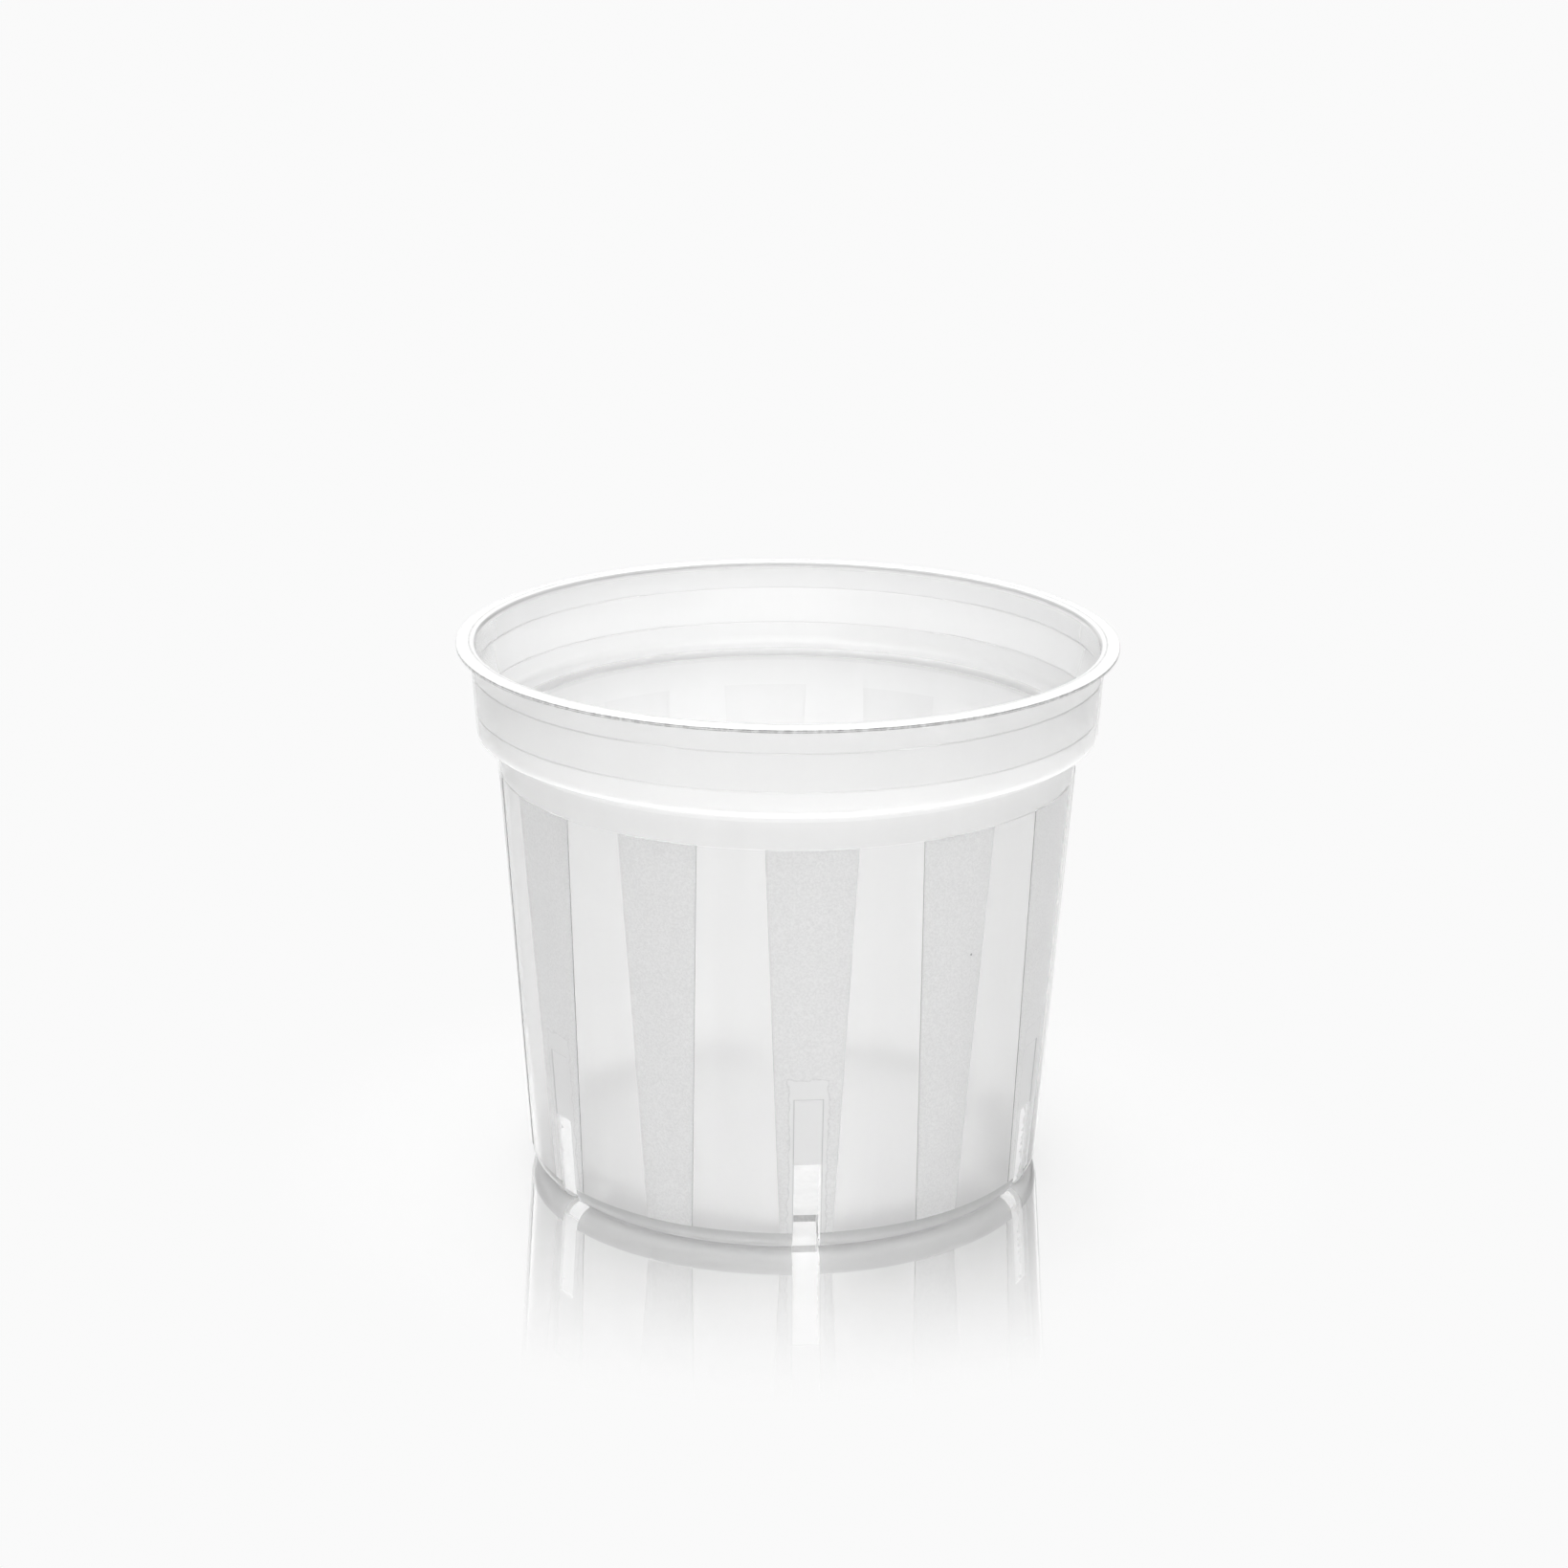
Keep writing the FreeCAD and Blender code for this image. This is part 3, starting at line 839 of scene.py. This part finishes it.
# The finishes of each kind of zone: its outside, its inside and its cut edges
ZONE_FINISHES = {
    "floor": ("natural_floor", "natural_floor", "natural_cut_painted_shade"),
    "foot": ("natural_foot", "natural_foot", "natural_edge"),
    "slotted": ("natural_frosted", "natural_behind", "natural_edge"),
    "frosted": ("natural_frosted", "natural_behind", "natural_edge"),
    "clear": ("natural_panel", "natural_inside", "natural_edge"),
    "wall": ("natural_band_painted_shade", "natural_inside", "natural_edge"),
    "shoulder": ("natural_shoulder", "natural_ledge", "natural_edge"),
    "collar": ("natural_gloss", "natural_inside", "natural_edge"),
    "rim": ("natural_lip_and_painted_highlight", "natural_lip_and_painted_highlight", "natural_edge"),
}


def finishes_of(node):
    """The finishes of a node, by the first word of its name."""
    return ZONE_FINISHES[node.split("_")[0]]


def is_panel_edge(column, two_rows):
    """Whether a cell is on the narrow draft along a frosted panel's edge."""
    place = column % SECTOR
    place = min(place, SECTOR - 1 - place)
    return place in (SLOTTED_IN, PLAIN_OUT) and all(row.panels for row in two_rows)


def faces_of(cell, node, zones, rows):
    """A cell's two faces and its open edges, each as its corners and its finish."""
    column, row = cell
    around = [(column, row), (column + 1, row), (column + 1, row + 1), (column, row + 1)]
    outer, inner, edge = finishes_of(node)
    if rows[row].outer_finish:
        outer = rows[row].outer_finish
    # The drafts along the frosted panels' edges take a dark finish: painted shade lines.
    elif is_panel_edge(column, rows[row:row + 2]):
        outer = "natural_panel_edge_painted_shade"
    faces = [
        ([("outer", *point) for point in around], outer),
        ([("inner", *point) for point in reversed(around)], rows[row].inner_finish or inner),
    ]
    beside = [(column, row - 1), (column + 1, row), (column, row + 1), (column - 1, row)]
    for side, (next_column, next_row) in enumerate(beside):
        neighbour = zones.get((next_column % COLUMNS, next_row), "end")
        if neighbour in (node, "end"):
            continue
        start, end = around[side], around[(side + 1) % 4]
        corners = [("outer", *end), ("outer", *start), ("inner", *start), ("inner", *end)]
        faces.append((corners, "inside_the_wall" if neighbour else edge))
    return faces


def finished(mesh, name, finishes):
    """A mesh as a piece of the scene, with its faces outward and its finishes."""
    bmesh.ops.recalc_face_normals(mesh, faces=mesh.faces)
    data = bpy.data.meshes.new(name)
    mesh.to_mesh(data)
    mesh.free()
    piece = bpy.data.objects.new(name, data)
    bpy.context.collection.objects.link(piece)
    for finish in finishes:
        data.materials.append(FINISHES[finish])
    return piece


def wall_piece(node, cells, rings, zones, rows):
    """A closed piece for one node, from its cells of the wall."""
    mesh = bmesh.new()
    corners = {}
    finishes = [*finishes_of(node), "inside_the_wall"]

    def corner(face, column, row):
        """The mesh's point where a column and a row cross, made once."""
        key = face, column % COLUMNS, row
        if key not in corners:
            corners[key] = mesh.verts.new(rings[face][row][column % COLUMNS])
        return corners[key]

    for cell in cells:
        for points, finish in faces_of(cell, node, zones, rows):
            if finish not in finishes:
                finishes.append(finish)
            face = mesh.faces.new([corner(*point) for point in points])
            face.material_index = finishes.index(finish)
            face.smooth = True
    bmesh.ops.remove_doubles(mesh, verts=mesh.verts, dist=MERGE_DISTANCE)
    piece = finished(mesh, f"{node}_moulded", finishes)
    piece.data.set_sharp_from_angle(angle=math.radians(SHARP_ANGLE_DEG))
    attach(piece, "root")
    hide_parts(node)


def pot():
    """Every zone of the moulding as a piece of its own."""
    rows, kinds = wall_rows()
    rings = {face: [wall_points(row, face) for row in rows] for face in ("outer", "inner")}
    zones = {}
    for row, kind in enumerate(kinds):
        for column in range(COLUMNS):
            zones[column, row] = zone_of(column, kind)
    cells = {}
    for cell, node in zones.items():
        if node:
            cells.setdefault(node, []).append(cell)
    for node, own_cells in cells.items():
        wall_piece(node, own_cells, rings, zones, rows)


def ragged(width, height, seed):
    """A width that wanders with height, as a torn edge does."""
    slow = noise.noise(Vector((height / SLOW_TEAR_LENGTH, seed, 0)))
    fast = noise.noise(Vector((height / FAST_TEAR_LENGTH, seed, FAST_TEAR_PLACE)))
    share = 1 + SLOW_TEAR_SHARE * slow + FAST_TEAR_SHARE * fast
    return min(SLOT_WIDTH - FLASH_LEAST_OPENING, width * max(LEAST_TEAR, share))


def flash_ring(sector, side, height, reach):
    """The flash's four corners at a height, from the slot's edge to its reach and back."""
    middle = at_height(CLEAR_FACE, height).x - WALL / 2
    near, far = middle - FLASH_THICKNESS / 2, middle + FLASH_THICKNESS / 2
    ring = []
    for radius, inward in ((near, -FLASH_BITE), (near, reach), (far, reach), (far, -FLASH_BITE)):
        across = side * (SLOT_WIDTH / 2 - inward)
        ring.append(placed(radius, PITCH * sector + math.asin(across / radius), height))
    return ring


def slot_flash(sector, side, width):
    """A thin ragged skin left along one edge of a slot, as one closed strip."""
    name = f"slot_flash_{sector + 1:02d}_{'right' if side > 0 else 'left'}"
    bottom, top = CORNER_ROUND - FLASH_BELOW_ROUND, SLOT_TOP - FLASH_TOP_GAP
    count = round((top - bottom) / FLASH_STEP)
    mesh = bmesh.new()
    rows = []
    for step in range(count + 1):
        height = bottom + (top - bottom) * step / count
        reach = ragged(width, height, sector * 2 + side)
        rows.append([mesh.verts.new(point) for point in flash_ring(sector, side, height, reach)])
    for start, end in zip(rows, rows[1:]):
        for place in range(4):
            after = (place + 1) % 4
            mesh.faces.new([start[place], start[after], end[after], end[place]])
    mesh.faces.new(rows[0])
    mesh.faces.new(rows[-1])
    piece = finished(mesh, name, ["natural_edge"])
    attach(piece, "root")


def flash():
    """The flash at the right and the left edge of every slot."""
    for sector, widths in enumerate(FLASH_WIDTHS):
        for side, width in zip((1, -1), widths):
            slot_flash(sector, side, width)


def seen_directly(graph):
    """Whether a ray comes from the camera, off gloss, or through the plastic."""
    path = graph.add("LightPath").outputs
    return path["Is Camera Ray"], path["Is Glossy Ray"], path["Is Transmission Ray"]


def table_material():
    """Half mirror and half matte white near the middle, and plain white further out."""
    made = bpy.data.materials.new("studio_table")
    graph = Graph(made, "ShaderNodeOutputMaterial")
    position = graph.add("NewGeometry").outputs["Position"]
    away = graph.add("VectorMath", {0: position}, operation="LENGTH").outputs["Value"]
    fade = graph.scaled(away, SHINE_EDGE, 0.0, 1.0)
    matte = graph.add("BsdfDiffuse", {"Color": grey(TABLE_MATTE)}).outputs["BSDF"]
    shine = {"Color": grey(TABLE_SHINE), "Roughness": TABLE_BLUR}
    near = graph.mix(TABLE_MIRROR, matte, graph.add("BsdfGlossy", shine).outputs["BSDF"])
    white = graph.add("Emission", {"Color": grey(BACKGROUND)}).outputs["Emission"]
    camera_ray, glossy_ray, through_ray = seen_directly(graph)
    seen = graph.math("MAXIMUM", camera_ray, graph.math("MAXIMUM", glossy_ray, through_ray))
    graph.finish(graph.mix(graph.math("MULTIPLY", fade, seen), near, white))
    return made


def table():
    """A white table: glossy round the pot, and plain white further out."""
    mesh = bpy.data.meshes.new("studio_table")
    ends = [(-1, -1), (1, -1), (1, 1), (-1, 1)]
    corners = [(x * TABLE_HALF, y * TABLE_HALF, TABLE_TOP) for x, y in ends]
    mesh.from_pydata(corners, [], [(0, 1, 2, 3)])
    mesh.materials.append(table_material())
    plane = bpy.data.objects.new("studio_table", mesh)
    bpy.context.collection.objects.link(plane)


def studio_light(graph, across, aside, up, backdrop):
    """How strong the light from a direction is."""
    sides = graph.scaled(across, FULL_WIDTH, *SIDE_LIGHT)
    front = graph.math("MULTIPLY", graph.scaled(aside, FRONT_EDGE, 1.0, 0.0), FRONT_LIGHT)
    raised = graph.math("POWER", graph.math("MAXIMUM", up, 0.0), TOP_NARROW)
    above = graph.math("MULTIPLY", raised, TOP_LIGHT)
    level = graph.math("ADD", graph.math("ADD", sides, above), front)
    level = graph.math("ADD", level, graph.math("MULTIPLY", backdrop, BACK_LIGHT))
    return graph.math("MULTIPLY", level, graph.scaled(across, FULL_WIDTH, *LIGHT_LEAN))


def studio():
    """A white backdrop behind the pot, dimmer sides and front, and soft light from above."""
    made = bpy.data.worlds.new("studio")
    bpy.context.scene.world = made
    graph = Graph(made, "ShaderNodeOutputWorld")
    direction = graph.add("TexCoord").outputs["Generated"]
    across, along, up = graph.add("SeparateXYZ", {"Vector": direction}).outputs
    aside = graph.math("ABSOLUTE", across)
    behind = graph.scaled(along, BEHIND_EDGE, 0.0, 1.0)
    backdrop = graph.math("MULTIPLY", graph.scaled(aside, BACKDROP_EDGE, 1.0, 0.0), behind)
    level = studio_light(graph, across, aside, up, backdrop)
    light = graph.add("Background", {"Color": grey(1.0), "Strength": level}).outputs["Background"]
    white = graph.add("Background", {"Color": grey(BACKGROUND)}).outputs["Background"]
    camera_ray, glossy_ray, through_ray = seen_directly(graph)
    mirrored = graph.math("MULTIPLY", glossy_ray, graph.scaled(up, MIRROR_TOP, 1.0, 0.0))
    through = graph.math("MULTIPLY", through_ray, graph.scaled(up, SCREEN_TOP, 1.0, 0.0))
    screen = graph.math("MULTIPLY", backdrop, graph.math("MAXIMUM", mirrored, through))
    graph.finish(graph.mix(graph.math("MAXIMUM", camera_ray, screen), light, white))


def camera():
    """The photograph's camera, turned round the pot so that the first slot faces -Y."""
    turn = Matrix.Rotation(math.radians(-SLOT_PHASE_DEG), 4, "Z")
    tilt = Matrix.Rotation(math.radians(CAMERA_TILT_DEG), 4, "X")
    roll = Matrix.Rotation(math.radians(CAMERA_ROLL_DEG), 4, "Z")
    place = Vector((CAMERA_SIDE, -CAMERA_DISTANCE, CAMERA_HEIGHT)) * MM
    data = bpy.data.cameras.new("camera")
    data.lens = CAMERA_LENS
    data.sensor_width = SENSOR_WIDTH
    data.clip_start = CLIP_START * MM
    made = bpy.data.objects.new("camera", data)
    made.matrix_world = turn @ Matrix.Translation(place) @ tilt @ roll
    bpy.context.collection.objects.link(made)
    bpy.context.scene.camera = made


pot()
flash()
camera()
table()
studio()
bpy.context.scene.view_settings.view_transform = "Standard"
